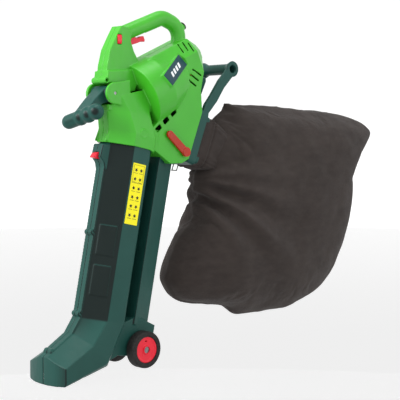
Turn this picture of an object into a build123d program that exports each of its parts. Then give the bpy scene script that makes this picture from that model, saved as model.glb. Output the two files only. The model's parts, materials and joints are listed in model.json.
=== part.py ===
from build123d import *
import os
from math import cos, radians, sin, tan

# Electric garden blower and vacuum with a wheeled two-channel tube and a collecting bag.
# Millimetres. +Z is up, -Y is forward (the way the nozzle points), +X is the machine's left.
# The origin is level with the nozzle's lip, under the middle of the whole object.
# Places in the side view are measured back from the wheel axle and up from the origin's level.

os.makedirs("parts", exist_ok=True)

# ---------------------------------------------------------------- driving dimensions
wall = 2.6  # moulded shell
seat = 0.3  # between parts that only sit in each other
running = 0.05  # radial, on shafts and pins
axle_y = -334.0  # the wheel axle, from the origin

# tube pair
tube_lean = 11.6  # degrees, top further back
tube_front_y = -82.0  # front face of the suction tube at tube_ref_z, from the axle
tube_ref_z = 512.0
suction_top_z = 582.0  # along the front face
blower_top_z = 575.0
knee_z = 150.0
strip_half = 16.0  # raised strip along the front seam
strip_proud = 3.0
suction_half = 60.0
suction_flank = 45.0  # depth of the slanted front face
suction_side = 50.0  # depth of the flat side
suction_back = 12.0
tube_groove = 32.0  # gap behind the suction tube
blower_front_half = 46.0
blower_back_half = 28.0
blower_depth = 58.0
nozzle_half = 74.0
nozzle_lip_y = -256.0
nozzle_bow = 15.0  # how far the nozzle's nose bows forward
boss_r = 7.0
screw_r = 1.9
head_r = 3.4

button_y = -95.0  # release button
button_z = 533.0
button_half = 9.0
button_travel = 3.5

# wheels
axle_z = 60.0
axle_r = 5.0
axle_half = 69.5
wheel_r = 45.0
hub_r = 32.0
wheel_w = 28.0
wheel_in = 44.0  # inner face, from the mid-plane

# motor and fan, along an axis that rises to the rear; the drum's two ends are places along it
fan_rise = 24.0  # degrees
fan_y = 51.0
fan_z = 684.0
drum_r = 86.0
drum_front = -30.0
drum_len = 30.0
cone_len = 80.0
cone_taper = 18.0
barrel_half = 56.0
barrel_top = 82.0
barrel_low = -66.0
barrel_corner = 24.0
barrel_end = 198.0
barrel_round = 36.0
barrel_slope = 40.0  # degrees, of the rounded end
impeller_r = 68.0
stator_r = 44.0
stator_bore = 32.0
shaft_r = 5.0
bearing_r = 12.0
commutator_r = 14.0

# housing
block_half = 59.0
column_half = 19.0
root_half = 27.0
grip_w = 17.5  # half width of the top handle
grip_h = 19.5
pivot_y = -71.0  # auxiliary handle pivot
pivot_z = 681.0
ear_r = 26.0
ear_in = 34.0
ear_out = 42.0
bar_r = 17.5  # auxiliary handle's grip
bar_half = 40.0
bar_y = -137.0
bar_z = 625.0
bar_tilt = 12.0  # how far its left end stands above its middle
bar_skew = 10.8  # and how far behind it
hub_grip_r = 19.0
bolt_r = 4.0
eye_y = -84.0  # strap eye
eye_z = 712.0
eye_r = 4.0
eye_wall = 4.0
selector_y = 133.0
selector_z = 540.0
selector_r = 5.0
selector_length = 78.0
selector_angle = 140.0  # degrees above the rearward direction
flap_angle = 160.0
flap_length = 54.0
trigger_y = -14.0
trigger_z = 820.0
pin_r = 1.5
rocker_y = -40.0
rocker_z = 812.0

# bag port and frame
port_y = 172.0
port_z = 582.0
port_tilt = 21.4  # degrees, facing down
port_w = 92.0
port_h = 112.0
frame_w = 112.0
frame_h = 142.0
frame_d = 26.0
yoke_y = 305.0
yoke_z = 753.0
yoke_half = 52.0
yoke_r = 14.0
yoke_flare_r = 21.0
yoke_bore_r = 10.5
arm_t = 6.0
latch_y = 208.0
latch_z = 662.0
latch_half = 20.0
clip_half = 9.0
clip_drop = 20.0
wire_r = 1.5
bag_t = 3.0  # coated cloth with its seams
collar_d = 40.0

tilt = radians(tube_lean)
rise = radians(fan_rise)
fall = radians(port_tilt)


# ---------------------------------------------------------------- places and helpers
def back(y, z):
    """A side-view point measured back from the axle."""
    return (axle_y + y, z)


def outline(*points):
    """A side-view outline, each point measured back from the axle."""
    return [back(y, z) for y, z in points]


def tube_front(z):
    """How far back the suction tube's front face is at a height."""
    return tube_front_y + (z - tube_ref_z) * tan(tilt)


def tube_plane(z, forward=0.0, turn=tube_lean):
    """A section plane of the tube: its X is the machine's X, its Y runs back through the tube."""
    y = axle_y + tube_front(z) - forward
    return section_plane(y, z, turn)


def section_plane(y, z, turn):
    """A plane through (0, y, z) whose local Y points back and down by turn degrees."""
    lean = radians(turn)
    return Plane(origin=(0, y, z), x_dir=(1, 0, 0), z_dir=(0, sin(lean), cos(lean)))


def fan_plane(along):
    """A plane across the fan axis at a distance along it; local Y points up."""
    y, z = back(fan_y + along * cos(rise), fan_z + along * sin(rise))
    return Plane(origin=(0, y, z), x_dir=(-1, 0, 0), z_dir=(0, cos(rise), sin(rise)))


def port_point(out, up):
    """A side-view point at a distance out of the bag port and up along it, from the axle."""
    return (port_y + out * cos(fall) + up * sin(fall), port_z - out * sin(fall) + up * cos(fall))


def port_plane(out):
    """A plane parallel to the bag port at a distance out of it; local Y points up along the port."""
    y, z = back(*port_point(out, 0))
    return Plane(origin=(0, y, z), x_dir=(-1, 0, 0), z_dir=(0, cos(fall), -sin(fall)))


def clip_plane(down):
    """A plane across the wire clip's legs at a distance below the bag frame's lower edge."""
    y, z = back(*port_point(frame_d / 2, -frame_h / 2 - down))
    return Plane(origin=(0, y, z), x_dir=(1, 0, 0), z_dir=(0, -sin(fall), -cos(fall)))


def button_point(along, across):
    """A side-view point by the release button, along its travel and across it, from the axle."""
    y = button_y + along * cos(tilt) + across * sin(tilt)
    return (y, button_z - along * sin(tilt) + across * cos(tilt))


def beside(hand, near, far):
    """The start and end along X of something between two distances out on one side."""
    return sorted((hand * near, hand * far))


def side_prism(points, half_width, inset=0.0, start=None):
    """A side-view outline drawn out to both sides, or from start outwards to half_width."""
    with BuildPart() as solid:
        with BuildSketch(Plane.YZ if start is None else Plane.YZ.offset(start)):
            with BuildLine():
                Polyline(*points, close=True)
            make_face()
            if inset:
                offset(amount=-inset, kind=Kind.INTERSECTION)
        if start is None:
            extrude(amount=half_width, both=True)
        else:
            extrude(amount=half_width - start)
    return solid.part


def cross_pin(y, z, radius, start, end):
    """A round bar along X between two places."""
    with BuildPart() as solid:
        with BuildSketch(Plane.YZ.offset(start)):
            with Locations(back(y, z)):
                Circle(radius)
        extrude(amount=end - start)
    return solid.part


def section_loft(stations, inset=0.0):
    """A ruled skin through outlines, each a (plane, points) pair."""
    with BuildPart() as solid:
        for plane, points in stations:
            with BuildSketch(plane):
                with BuildLine():
                    Polyline(*points, close=True)
                make_face()
                if inset:
                    offset(amount=-inset, kind=Kind.INTERSECTION)
        loft(ruled=True)
    return solid.part


def fan_disc(start, end, radius, bore=0.0):
    """A disc or ring on the fan axis."""
    with BuildPart() as solid:
        with BuildSketch(fan_plane(start)):
            Circle(radius)
            if bore:
                Circle(bore, mode=Mode.SUBTRACT)
        extrude(amount=end - start)
    return solid.part


def save(solid, name):
    """Labels a piece and writes its STEP file."""
    solid.label = name
    export_step(solid, f"parts/{name}.step")


def eight_sided(front, half, flank, side, end=suction_back):
    """The suction tube's outline: a narrow front, slanted flanks, flat sides, a drawn-in back."""
    right = [(front, 0), (half, flank), (half, flank + side), (half - end, flank + side + end)]
    return right + [(-x, y) for x, y in reversed(right)]


# ---------------------------------------------------------------- tube pair
suction_outline = eight_sided(strip_half, suction_half, suction_flank, suction_side)
blower_start = suction_flank + suction_side + suction_back + tube_groove
blower_end = blower_start + blower_depth
blower_outline = [
    (-blower_front_half, blower_start),
    (blower_front_half, blower_start),
    (blower_back_half, blower_end),
    (-blower_back_half, blower_end),
]
knee_front = (-182.0, 113.0)  # where the front seam turns towards the nozzle
nose_top_z = 66.0
knee_outline = eight_sided(strip_half, suction_half + 7, 34.0, 62.0)
nose_outline = eight_sided(strip_half, nozzle_half, 27.0, nose_top_z - 27.0 - 4.0, 4.0)
foot_outline = outline(
    (-72, 122), (-112, 36), (-66, 50), (-22, 44), (8, 45), (44, 84), (50, 112), (-8, 140)
)


def nose_front(inset):
    """What lies in front of the nozzle's bowed nose, to be cut away."""
    lip = axle_y + nozzle_lip_y + inset
    half = nozzle_half + 4
    with BuildPart() as solid:
        with BuildSketch(Plane.XY.offset(-20)):
            with BuildLine():
                ThreePointArc((-half, lip + nozzle_bow), (0, lip), (half, lip + nozzle_bow))
                Polyline((half, lip + nozzle_bow), (half, lip - 40), (-half, lip - 40), (-half, lip + nozzle_bow))
            make_face()
        extrude(amount=160)
    return solid.part


def tube_mass(inset, top_extra=0.0):
    """Both channels, the nozzle and the foot as one solid, drawn in by inset."""
    nose_y = axle_y + nozzle_lip_y + inset
    suction = section_loft(
        [
            (tube_plane(suction_top_z + top_extra), suction_outline),
            (tube_plane(knee_z), suction_outline),
            (section_plane(*back(*knee_front), 48.0), knee_outline),
            (section_plane(nose_y, nose_top_z, 89.9), nose_outline),
        ],
        inset,
    )
    with BuildPart() as blower:
        with BuildSketch(tube_plane(blower_top_z + top_extra)):
            with BuildLine():
                Polyline(*blower_outline, close=True)
            make_face()
            if inset:
                offset(amount=-inset, kind=Kind.INTERSECTION)
        extrude(amount=-(blower_top_z + top_extra - knee_z) / cos(tilt) + inset)
    foot = side_prism(foot_outline, blower_front_half - 4 - inset, inset)
    with BuildPart() as mass:
        add(suction)
        add(blower.part)
        add(foot)
        add(nose_front(inset), mode=Mode.SUBTRACT)
    return mass.part


panel_near = 0.18  # where the raised panels lie across the slanted face, as shares of it
panel_far = 0.84
panel_sink = 1.0  # how deep a panel's foot lies in the face


def slant_point(share):
    """A point just under the suction tube's slanted front face, at a share of its width."""
    x = strip_half + (suction_half - strip_half) * share
    return (x, suction_flank * share + panel_sink)


button_length = 27.0
button_seat = button_length - 12.3  # how deep its pocket reaches
button_slack = 0.9
button_pocket = [
    (-30, -button_half + button_slack),
    (button_seat, -button_half + button_slack),
    (button_seat, button_half - button_slack),
    (-30, button_half - button_slack),
]
tube_bosses = [(tube_front(z) - strip_proud, z) for z in (350.0, 158.0)]
tube_bosses += [(-238.0, 78.0)]
tube_bosses += [(tube_front(z) + blower_end / cos(tilt) + 1.0, z) for z in (485.0, 293.0, 119.0)]

with BuildPart() as tube_pair:
    add(tube_mass(0.0))
    # the web and the flange that join the two channels on the mid-plane
    add(
        section_loft(
            [
                (tube_plane(blower_top_z - 32), [(-5, 90), (5, 90), (5, 142), (-5, 142)]),
                (tube_plane(knee_z - 10), [(-5, 90), (5, 90), (5, 142), (-5, 142)]),
            ]
        )
    )
    # raised strip along the front seam, down the knee and over the nozzle
    strip = [(tube_front(suction_top_z - 20), suction_top_z - 20), (tube_front(knee_z), knee_z)]
    strip += [knee_front, (-243.0, 75.0)]
    inner = [(y + 8, z + 2) for y, z in reversed(strip)]
    outer = [(y - strip_proud, z + strip_proud * 0.4) for y, z in strip]
    add(side_prism(outline(*outer, *inner), strip_half))
    for y, z in tube_bosses:
        add(cross_pin(y, z, boss_r, -14.0, 14.0))
    # two shallow raised panels on each slanted front face
    for low, high in ((205.0, 275.0), (300.0, 370.0)):
        for hand in (-1, 1):
            near, far = slant_point(panel_near), slant_point(panel_far)
            slant = [near, far, (far[0] - 1.5, far[1] + 1.5), (near[0] - 1.5, near[1] + 1.5)]
            add(
                section_loft(
                    [
                        (tube_plane(low), [(hand * x, y - 3) for x, y in slant]),
                        (tube_plane(high), [(hand * x, y - 3) for x, y in slant]),
                    ]
                )
            )
    # housing of the release button, at the front of the top end
    add(
        side_prism(
            outline((-91, 561), (-66, 561), (-76, 496), (-86, 500), (-89, 516), (-100, 530)),
            strip_half + 3,
        )
    )
    add(tube_mass(wall, 12.0), mode=Mode.SUBTRACT)
    # the suction mouth, in the underside behind the nose
    with BuildSketch(Plane.XY.offset(-20)):
        with Locations((0, axle_y + nozzle_lip_y + 42)):
            Rectangle(2 * nozzle_half - 20, 58)
    extrude(amount=44, mode=Mode.SUBTRACT)
    # the blower mouth, in the foot's front end
    with BuildSketch(Plane.XY.offset(20)):
        with Locations((0, axle_y - 82)):
            Rectangle(2 * blower_front_half - 26, 34)
    extrude(amount=50, mode=Mode.SUBTRACT)
    # pocket of the release button
    pocket = [button_point(along, across) for along, across in button_pocket]
    add(side_prism(outline(*pocket), button_half + 0.1), mode=Mode.SUBTRACT)
    # axle bearing across the foot
    add(cross_pin(0, axle_z, axle_r + 5, -wheel_in + seat, wheel_in - seat))
    add(cross_pin(0, axle_z, axle_r + 0.02, -60, 60), mode=Mode.SUBTRACT)
    for y, z in tube_bosses:
        add(cross_pin(y, z, screw_r + 0.05, -20.0, 20.0), mode=Mode.SUBTRACT)
        add(cross_pin(y, z, head_r + 0.1, -20.0, -14.0), mode=Mode.SUBTRACT)

with BuildPart() as tube_left:
    add(tube_pair.part)
    split(bisect_by=Plane.YZ, keep=Keep.TOP)

with BuildPart() as tube_right:
    add(tube_pair.part)
    split(bisect_by=Plane.YZ, keep=Keep.BOTTOM)

save(tube_left.part, "tube_left")
save(tube_right.part, "tube_right")


# ---------------------------------------------------------------- housing
neck_bottom = eight_sided(20.0, suction_half + seat + wall + 1, 50.0, 62.0)
neck_middle = eight_sided(20.0, 54.0, 42.0, 62.0, 10.0)
neck_top = eight_sided(22.0, 42.0, 22.0, 90.0, 10.0)
block_outline = outline(
    (24, 552), (88, 511), (126, 512), port_point(0, -64), port_point(0, 62), (190, 694),
    (201, 744), (167, 744), (150, 724), (135, 702), (101, 655), (38, 606), (24, 592),
)
column_outline = outline(
    (-34, 845), (-52, 815), (-68, 786), (-78, 749), (-82, 712), (-78, 668), (-20, 668), (26, 752),
    (5, 785), (-4, 808), (-2, 826), (-12, 842),
)
root_outline = outline((-81, 735), (-84, 705), (-80, 640), (-20, 640), (24, 742))
below_outline = outline(
    (-140, 400), (-140, 566), (-84, 566), (17, 545.5), (88, 511), (126, 512), (150, 523), (260, 523), (260, 400)
)
behind_outline = outline(
    (240, 793), (217, 774), (202, 746), (190, 694), port_point(0, 63), (320, 640), (320, 793)
)
handle_path = [back(-18, 826), back(110, 876), back(166, 856), back(163, 790)]
handle_bend = 40.0
gland_r = 8.0
gland_y, gland_z = 178.0, 858.0

# the flat panel that carries the name plate, on the left flank of the fan's cone
plate_around = radians(20.0)
plate_slope = radians(17.0)
plate_long = 104.0
plate_wide = 33.0
plate_turn = 16.5
plate_centre = (35.0, 9.0)  # down the cone and up across it


def plate_plane(lift):
    """The name plate's plane, lifted off the panel; local X runs along the plate."""
    across = Vector(cos(plate_around), -sin(plate_around) * sin(rise), sin(plate_around) * cos(rise))
    along = Vector(0, cos(rise), sin(rise))
    normal = across * cos(plate_slope) + along * sin(plate_slope)
    down = along * cos(plate_slope) - across * sin(plate_slope)
    edge = Vector(0, *back(fan_y, fan_z)) + along * drum_len + across * (drum_r + 0.8)
    centre = edge + down * plate_centre[0] + normal.cross(down) * plate_centre[1]
    return Plane(origin=centre + normal * lift, x_dir=down, z_dir=normal)


def plate_block(start, end, margin):
    """A block under or over the name plate, wider than it by a margin."""
    with BuildPart() as solid:
        with BuildSketch(plate_plane(start)):
            Rectangle(plate_long + 2 * margin, plate_wide + 2 * margin, rotation=plate_turn)
        extrude(amount=end - start)
    return solid.part


def barrel_block(start, end, inset, taper=0.0):
    """A length of the motor housing's eight-sided barrel along the fan axis."""
    half, corner = barrel_half, barrel_corner
    with BuildPart() as solid:
        with BuildSketch(fan_plane(start)):
            with BuildLine():
                Polyline(
                    (-half, barrel_low), (half, barrel_low), (half, barrel_top - 1.5 * corner),
                    (half - corner, barrel_top), (corner - half, barrel_top),
                    (-half, barrel_top - 1.5 * corner), close=True,
                )
            make_face()
            if inset:
                offset(amount=-inset, kind=Kind.INTERSECTION)
        extrude(amount=end - start, taper=taper)
    return solid.part


def housing_mass(inset):
    """The housing as one solid, drawn in by inset all over."""
    neck_z = suction_top_z + seat if inset else 480.0
    neck = section_loft(
        [
            (tube_plane(neck_z, 11.0 - (neck_z - 480.0) * 0.02), neck_bottom),
            (tube_plane(suction_top_z + 14, 10.0), neck_bottom),
            (section_plane(*back(-79, 640), 4.0), neck_middle),
            (section_plane(*back(-76, 672), -12.0), neck_top),
        ],
        inset,
    )
    with BuildPart() as drum:
        with BuildSketch(fan_plane(drum_front + inset)):
            Circle(drum_r - inset)
        extrude(amount=drum_len - drum_front - inset)
        with BuildSketch(fan_plane(drum_len - 0.01)):
            Circle(drum_r - inset)
        extrude(amount=cone_len, taper=cone_taper)
    with BuildPart() as handle:
        with BuildLine() as path:
            FilletPolyline(*[(0, y, z) for y, z in handle_path], radius=handle_bend)
        with BuildSketch(Plane(origin=path.line @ 0, x_dir=(1, 0, 0), z_dir=path.line % 0)):
            Ellipse(grip_w - inset, grip_h - inset)
        sweep(path=path.line)
    with BuildPart() as mass:
        add(neck)
        add(drum.part)
        add(barrel_block(20.0, barrel_end - barrel_round, inset))
        add(barrel_block(barrel_end - barrel_round - 0.01, barrel_end - inset, inset, barrel_slope))
        add(side_prism(block_outline, block_half - inset, inset))
        add(side_prism(column_outline, column_half - inset, inset))
        add(side_prism(root_outline, root_half - inset, inset))
        add(handle.part)
        add(side_prism(behind_outline, 100.0, -inset), mode=Mode.SUBTRACT)
    return mass.part


def gland_plane(out):
    """A plane across the cord inlet, which points back and up from the handle's bend."""
    lift = radians(35.0)
    y, z = back(gland_y + out * cos(lift), gland_z + out * sin(lift))
    return Plane(origin=(0, y, z), x_dir=(1, 0, 0), z_dir=(0, cos(lift), sin(lift)))


pivot_pocket = outline((-130, 655), (-71, 655), (-47, 668), (-47, 695), (-71, 706), (-130, 706))
ear_web = outline((-71, 655.2), (-25, 648), (-25, 714), (-71, 706.8))
below = side_prism(below_outline, 100.0)
housing_posts = [
    (-62, 742), (-28, 834), (152, 868), (140, 800), (186, 758), (178, 640), (142, 524), (50, 590), (-68, 641),
]
vent_line = [(49 + 24 * k, 598 + 19.5 * k) for k in range(3)]
slot_line = [(177 - 8.5 * k, 739 - 13.5 * k) for k in range(3)]
ridge_slots = [(138, 797), (153, 803), (168, 802)]

with BuildPart() as core:
    add(housing_mass(wall / 2))
    add(below, mode=Mode.SUBTRACT)

with BuildPart() as hollow:
    add(housing_mass(wall))
    add(side_prism(pivot_pocket, ear_in + wall, -wall), mode=Mode.SUBTRACT)
    add(plate_block(-wall, 40, wall), mode=Mode.SUBTRACT)

with BuildPart() as inner_walls:
    # plates across the fan axis that hold the motor, and the screw posts
    for start, end, hole in ((66, 69, stator_r + 0.2), (106, 109, stator_r + 0.2), (138, 142, 30.0)):
        with BuildSketch(fan_plane(start)):
            with Locations((0, 8)):
                Rectangle(150, 160)
            Circle(hole, mode=Mode.SUBTRACT)
        extrude(amount=end - start)
    for y, z in housing_posts:
        add(cross_pin(y, z, 5.0, -80, 80))
    for hand in (-1, 1):
        add(cross_pin(trigger_y, trigger_z, 4.0, *beside(hand, 7.0, column_half)))
    add(core.part, mode=Mode.INTERSECT)
    add(side_prism(pivot_pocket, ear_in + wall / 2, -wall / 2), mode=Mode.SUBTRACT)
    add(fan_disc(4, 34, drum_r - wall), mode=Mode.SUBTRACT)
    add(plate_block(-1, 40, 2.0), mode=Mode.SUBTRACT)

with BuildPart() as housing:
    add(housing_mass(0.0))
    add(below, mode=Mode.SUBTRACT)
    add(plate_block(-12, 0, 2.0))
    add(plate_block(0, 30, 2.0), mode=Mode.SUBTRACT)
    add(hollow.part, mode=Mode.SUBTRACT)
    add(inner_walls.part)
    # clevis of the auxiliary handle, with its pocket between the ears
    add(side_prism(pivot_pocket, ear_in), mode=Mode.SUBTRACT)
    for hand in (-1, 1):
        add(cross_pin(pivot_y, pivot_z, ear_r, *beside(hand, ear_in, ear_out)))
        near, far = beside(hand, ear_in, ear_out)
        add(side_prism(ear_web, far, start=near))
    add(cross_pin(pivot_y, pivot_z, bolt_r + 0.02, -60, 60), mode=Mode.SUBTRACT)
    # strap eye across the front of the column's root
    add(cross_pin(eye_y, eye_z, eye_r + eye_wall, -root_half, root_half))
    add(cross_pin(eye_y, eye_z, eye_r, -root_half - 1, root_half + 1), mode=Mode.SUBTRACT)
    # seats of the two tube tops
    with BuildSketch(tube_plane(suction_top_z + seat)):
        with BuildLine():
            Polyline(*suction_outline, close=True)
        make_face()
        offset(amount=seat, kind=Kind.INTERSECTION)
    extrude(amount=-120, mode=Mode.SUBTRACT)
    with BuildSketch(tube_plane(blower_top_z + 30)):
        with BuildLine():
            Polyline(*blower_outline, close=True)
        make_face()
        offset(amount=seat, kind=Kind.INTERSECTION)
    extrude(amount=-120, mode=Mode.SUBTRACT)
    # bag port
    with BuildSketch(port_plane(-8)):
        RectangleRounded(port_w, port_h, 8)
    extrude(amount=20, mode=Mode.SUBTRACT)
    # cord inlet boss on the bend of the handle
    with BuildSketch(gland_plane(-16)):
        Circle(gland_r + wall)
    extrude(amount=16)
    with BuildSketch(gland_plane(-30)):
        Circle(gland_r)
    extrude(amount=40, mode=Mode.SUBTRACT)
    # vents, on both sides
    for y, z in vent_line:
        with BuildSketch(Plane.YZ.offset(-block_half - 5)):
            with Locations(back(y, z)):
                Rectangle(19, 12, rotation=39)
        extrude(amount=12, mode=Mode.SUBTRACT)
        with BuildSketch(Plane.YZ.offset(block_half - 7)):
            with Locations(back(y, z)):
                Rectangle(19, 12, rotation=39)
        extrude(amount=12, mode=Mode.SUBTRACT)
    for y, z in slot_line:
        for hand in (-1, 1):
            near, far = beside(hand, barrel_half - 8, block_half + 4)
            with BuildSketch(Plane.YZ.offset(near)):
                with Locations(back(y, z)):
                    SlotOverall(32, 3.6, rotation=-29)
            extrude(amount=far - near, mode=Mode.SUBTRACT)
    for y, z in ridge_slots:
        for hand in (-1, 1):
            near, far = beside(hand, barrel_half - barrel_corner - 3, barrel_half)
            with BuildSketch(Plane.YZ.offset(near)):
                with Locations(back(y, z)):
                    Rectangle(3.2, 24, rotation=16)
            extrude(amount=far - near, mode=Mode.SUBTRACT)
    # trigger and rocker openings
    add(side_prism(outline((-9, 798), (54, 798), (54, 842), (-9, 842)), 6.6), mode=Mode.SUBTRACT)
    add(cross_pin(trigger_y, trigger_z, pin_r + 0.02, -column_half + wall, column_half - wall), mode=Mode.SUBTRACT)
    rocker_hole = outline(
        (rocker_y - 6.3, rocker_z - 12.2), (rocker_y + 6.3, rocker_z - 12.2),
        (rocker_y + 6.3, rocker_z + 12.2), (rocker_y - 6.3, rocker_z + 12.2),
    )
    add(side_prism(rocker_hole, column_half + 4, start=column_half - wall - 3), mode=Mode.SUBTRACT)
    # lever shaft
    add(cross_pin(selector_y, selector_z, selector_r + running, -80, 80), mode=Mode.SUBTRACT)
    # screw holes, with deep seats for the heads
    for y, z in housing_posts:
        add(cross_pin(y, z, screw_r + 0.05, -14, 12), mode=Mode.SUBTRACT)
        add(cross_pin(y, z, head_r + 0.1, -80, -10), mode=Mode.SUBTRACT)
    # small features of the front: a ring on the left flank, a rib, a groove
    flank_x = suction_half + seat + wall + 1
    add(cross_pin(-1, 585, 11, flank_x - 2, flank_x + 0.8))
    add(cross_pin(-1, 585, 9, flank_x, flank_x + 2), mode=Mode.SUBTRACT)
    for hand in (-1, 1):
        near, far = beside(hand, 18, 22)
        add(side_prism(outline((-73, 600), (-87, 568), (-73, 568)), far, start=near))
        near, far = beside(hand, block_half - 1.2, block_half + 5)
        add(side_prism(outline((50, 596), (54, 592), (46, 534), (42, 536)), far, start=near), mode=Mode.SUBTRACT)

with BuildPart() as housing_left:
    add(housing.part)
    split(bisect_by=Plane.YZ, keep=Keep.TOP)

with BuildPart() as housing_right:
    add(housing.part)
    split(bisect_by=Plane.YZ, keep=Keep.BOTTOM)

save(housing_left.part, "housing_left")
save(housing_right.part, "housing_right")

# ---------------------------------------------------------------- fasteners
with BuildPart() as housing_screws:
    for y, z in housing_posts:
        add(cross_pin(y, z, head_r, -12.0, -10.0))
        add(cross_pin(y, z, screw_r, -10.0, 11.0))
save(housing_screws.part, "housing_screws")

with BuildPart() as tube_screws:
    for y, z in tube_bosses:
        add(cross_pin(y, z, head_r, -16.0, -14.0))
        add(cross_pin(y, z, screw_r, -14.0, 13.0))
save(tube_screws.part, "tube_screws")

# ---------------------------------------------------------------- wheels
with BuildPart() as axle:
    add(cross_pin(0, axle_z, axle_r, -axle_half, axle_half))
save(axle.part, "axle")

with BuildPart() as axle_clips:
    for hand in (-1, 1):
        add(cross_pin(0, axle_z, axle_r + 3, *beside(hand, axle_half - 2.2, axle_half - 1.0)))
        add(cross_pin(0, axle_z, axle_r, -axle_half, axle_half), mode=Mode.SUBTRACT)
save(axle_clips.part, "axle_clips")

for hand, side in ((1, "left"), (-1, "right")):
    wheel_out = wheel_in + wheel_w
    with BuildPart() as hub:
        add(cross_pin(0, axle_z, hub_r, *beside(hand, wheel_in + 2, wheel_out - 2)))
        add(cross_pin(0, axle_z, axle_r + 6, *beside(hand, wheel_in, wheel_out)))
        add(cross_pin(0, axle_z, hub_r - 5, *beside(hand, wheel_out - 4, wheel_out)), mode=Mode.SUBTRACT)
        add(cross_pin(0, axle_z, axle_r + 6, *beside(hand, wheel_in, wheel_out)))
        add(cross_pin(0, axle_z, axle_r + running, -90, 90), mode=Mode.SUBTRACT)
        add(cross_pin(0, axle_z, axle_r + 3.4, *beside(hand, axle_half - 2.5, wheel_out + 1)), mode=Mode.SUBTRACT)
        # a small slot through the web, where the mould's gate was
        near, far = beside(hand, wheel_in, wheel_out)
        with BuildSketch(Plane.YZ.offset(near)):
            with Locations(back(0, axle_z + 21)):
                SlotOverall(7, 3)
        extrude(amount=far - near, mode=Mode.SUBTRACT)
    save(hub.part, f"wheel_hub_{side}")
    with BuildPart() as tyre:
        add(cross_pin(0, axle_z, wheel_r, *beside(hand, wheel_in, wheel_out)))
        chamfer(tyre.edges().filter_by(GeomType.CIRCLE), 3.0)
        add(cross_pin(0, axle_z, hub_r, -90, 90), mode=Mode.SUBTRACT)
    save(tyre.part, f"tyre_{side}")

# ---------------------------------------------------------------- motor and fan
with BuildPart() as fan_inlet_ring:
    add(fan_disc(5.0, 8.0, drum_r - wall - seat, 42.0))
save(fan_inlet_ring.part, "fan_inlet_ring")

with BuildPart() as motor_plate:
    add(fan_disc(34.0, 38.0, drum_r - wall - (38.0 - drum_len) * tan(radians(cone_taper)) - seat))
    add(fan_disc(38.0, 43.0, bearing_r + 4))
    add(fan_disc(30.0, 50.0, bearing_r), mode=Mode.SUBTRACT)
save(motor_plate.part, "motor_plate")

with BuildPart() as motor_stator:
    add(fan_disc(60.0, 115.0, stator_r, stator_bore))
save(motor_stator.part, "motor_stator")

with BuildPart() as rear_bracket:
    add(fan_disc(138.0, 142.0, 29.7))
    add(fan_disc(142.0, 147.0, bearing_r + 4))
    add(fan_disc(130.0, 150.0, bearing_r), mode=Mode.SUBTRACT)
save(rear_bracket.part, "rear_bracket")

for name, start in (("bearing_front", 35.0), ("bearing_rear", 139.0)):
    with BuildPart() as bearing:
        add(fan_disc(start, start + 7.0, bearing_r, shaft_r + running))
    save(bearing.part, name)

with BuildPart() as brush_holders:
    with BuildSketch(fan_plane(122.0)):
        for hand in (-1, 1):
            with Locations((hand * (commutator_r + 0.4 + 43) / 2, 0)):
                Rectangle(43 - commutator_r - 0.4, 12)
    extrude(amount=15.8)
save(brush_holders.part, "brush_holders")

with BuildPart() as motor_shaft:
    add(fan_disc(8.0, 150.0, shaft_r))
save(motor_shaft.part, "motor_shaft")

with BuildPart() as armature:
    add(fan_disc(62.0, 113.0, stator_bore - 1, shaft_r))
save(armature.part, "armature")

with BuildPart() as commutator:
    add(fan_disc(120.0, 134.0, commutator_r, shaft_r))
save(commutator.part, "commutator")

with BuildPart() as impeller_nut:
    add(fan_disc(8.5, 12.0, 9.0, shaft_r))
save(impeller_nut.part, "impeller_nut")


def bladed_disc(start, disc, end, radius, count, hub):
    """A fan: a disc with a hub and radial blades in front of it, on the fan axis."""
    with BuildPart() as solid:
        with BuildSketch(fan_plane(start)):
            with PolarLocations(0, count):
                with Locations(((radius + hub) / 2 - 1.5, 0)):
                    Rectangle(radius - hub - 1, 2.4)
            Circle(hub)
        extrude(amount=disc - start + 0.5)
        with BuildSketch(fan_plane(disc)):
            Circle(radius)
        extrude(amount=end - disc)
        with BuildSketch(fan_plane(start - 1)):
            Circle(shaft_r)
        extrude(amount=end - start + 2, mode=Mode.SUBTRACT)
    return solid.part


with BuildPart() as fan_impeller:
    add(bladed_disc(12.0, 26.0, 28.5, impeller_r, 8, 12.0))
save(fan_impeller.part, "fan_impeller")

with BuildPart() as cooling_fan:
    add(bladed_disc(44.0, 50.0, 52.0, 38.0, 12, 12.0))
save(cooling_fan.part, "cooling_fan")

# ---------------------------------------------------------------- top handle's controls
with BuildPart() as trigger:
    add(
        side_prism(
            outline(
                (-19, 816), (-12, 811), (-2, 804), (11, 802.5), (24, 806.5), (40, 812), (49, 811.5),
                (50, 816), (46, 825.5), (37, 824.5), (28, 819.5), (8, 824.5), (-12, 825.5), (-19, 823),
            ),
            6.0,
        )
    )
    add(cross_pin(trigger_y, trigger_z, pin_r + running, -10, 10), mode=Mode.SUBTRACT)
save(trigger.part, "trigger")

with BuildPart() as trigger_pin:
    add(cross_pin(trigger_y, trigger_z, pin_r, -column_half + wall + 1.5, column_half - wall - 1.5))
save(trigger_pin.part, "trigger_pin")

with BuildPart() as rocker_switch:
    with BuildSketch(Plane.YZ.offset(column_half - wall - 2.6)):
        with Locations(back(rocker_y, rocker_z)):
            Rectangle(12.0, 22.0)
    extrude(amount=wall + 4.6)
    chamfer(rocker_switch.edges().filter_by(Axis.Y).group_by(Axis.X)[-1], 1.6, 5.0)
save(rocker_switch.part, "rocker_switch")

with BuildPart() as switch_box:
    box_outline = outline((-50, 762), (-28, 762), (-28, 794), (-50, 794))
    add(side_prism(box_outline, column_half - wall - seat))
save(switch_box.part, "switch_box")

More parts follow.
